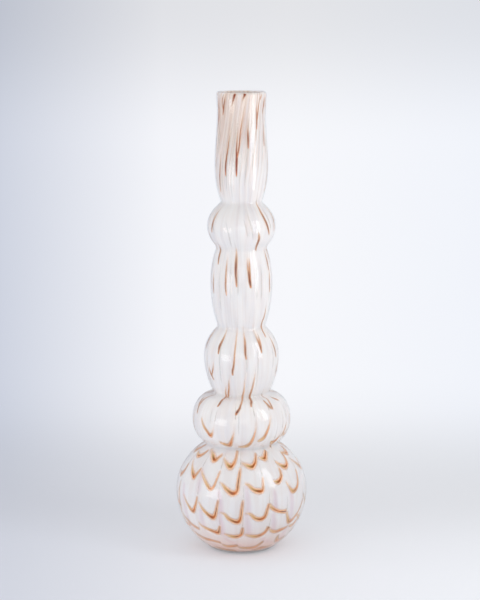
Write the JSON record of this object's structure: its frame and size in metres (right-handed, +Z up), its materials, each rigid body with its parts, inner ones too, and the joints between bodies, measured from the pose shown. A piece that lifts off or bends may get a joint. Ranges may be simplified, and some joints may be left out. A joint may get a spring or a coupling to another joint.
{
  "type": "vase",
  "caption": "Tall blown-glass vase of stacked round swellings under a long neck, white opal glass with combed amber threads cased in clear glass.",
  "frame": {"origin": "centre of the foot, on the surface that the vase stands on", "axes": "+Z up along the vase's axis, -Y towards the picture's camera"},
  "size_m": [0.1602, 0.1602, 0.56],
  "materials": {
    "opal_glass": "glossy white opal glass",
    "amber_thread": "glossy amber to brown glass thread",
    "clear_glass": "clear fire-polished glass"
  },
  "bodies": {
    "root": {"opal_liner": "opal_glass", "thread_belly_1": "amber_thread", "thread_belly_2": "amber_thread", "thread_belly_3": "amber_thread", "thread_belly_4": "amber_thread", "thread_belly_5": "amber_thread", "thread_lower_bulb_1": "amber_thread", "thread_lower_bulb_2": "amber_thread", "thread_middle_bulb_1": "amber_thread", "thread_barrel_1": "amber_thread", "thread_bead_1": "amber_thread", "thread_neck_1": "amber_thread", "thread_neck_2": "amber_thread", "clear_casing": "clear_glass"}
  },
  "joints": []
}
